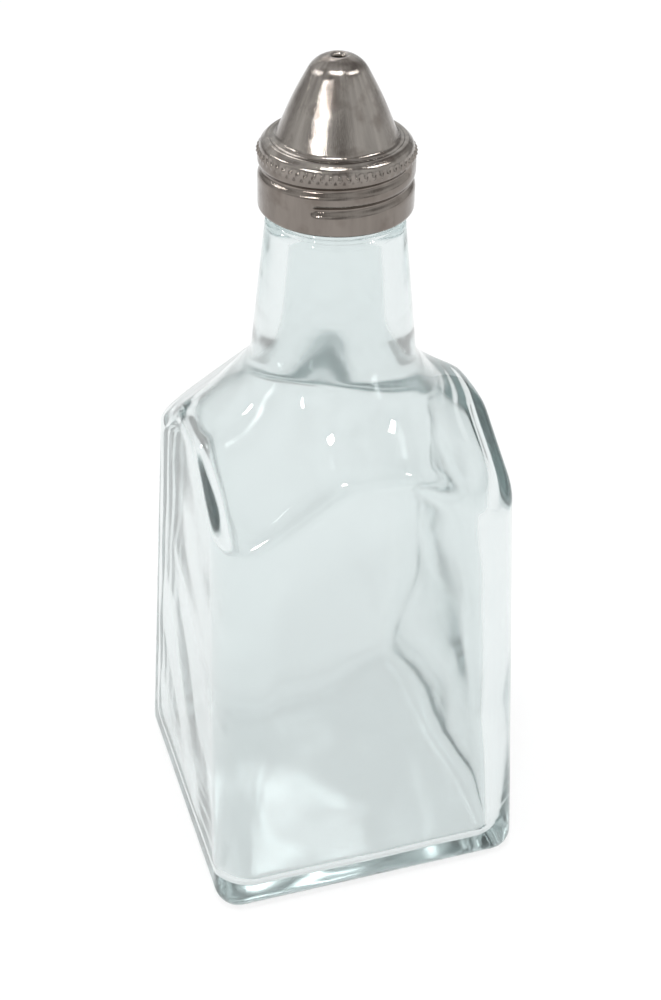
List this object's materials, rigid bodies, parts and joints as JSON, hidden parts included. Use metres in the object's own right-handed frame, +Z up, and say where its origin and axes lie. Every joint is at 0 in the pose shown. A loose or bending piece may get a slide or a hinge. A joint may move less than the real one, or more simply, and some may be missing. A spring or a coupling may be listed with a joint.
{
  "type": "glass oil bottle",
  "caption": "Square clear-glass table bottle for oil or vinegar, with a screw-on steel cone that pours through a small hole in its tip.",
  "frame": {"origin": "centre of the base, on the surface that the bottle stands on", "axes": "+Z up along the bottle's axis; the body's flat sides face along X and Y"},
  "size_m": [0.0596, 0.0596, 0.1541],
  "materials": {
    "glass": "gloss",
    "washer": "matt",
    "steel": "satin"
  },
  "bodies": {
    "bottle": {"glass_bottle": "glass"},
    "washer": {"sealing_washer": "washer"},
    "cap": {"pourer_cap": "steel"}
  },
  "joints": [
    {"name": "cap_rise", "type": "slide", "parent": "bottle", "child": "washer", "axis": [0, 0, 1], "range_m": [0, 0.00318]},
    {"name": "cap_turn", "type": "hinge", "parent": "washer", "child": "cap", "pos_m": [0, 0, 0.1397], "axis": [0, 0, 1], "range_deg": [0, 360]}
  ],
  "couplings": [
    {"joint": "cap_rise", "follows": "cap_turn", "m_per_rad": 0.00050532}
  ]
}
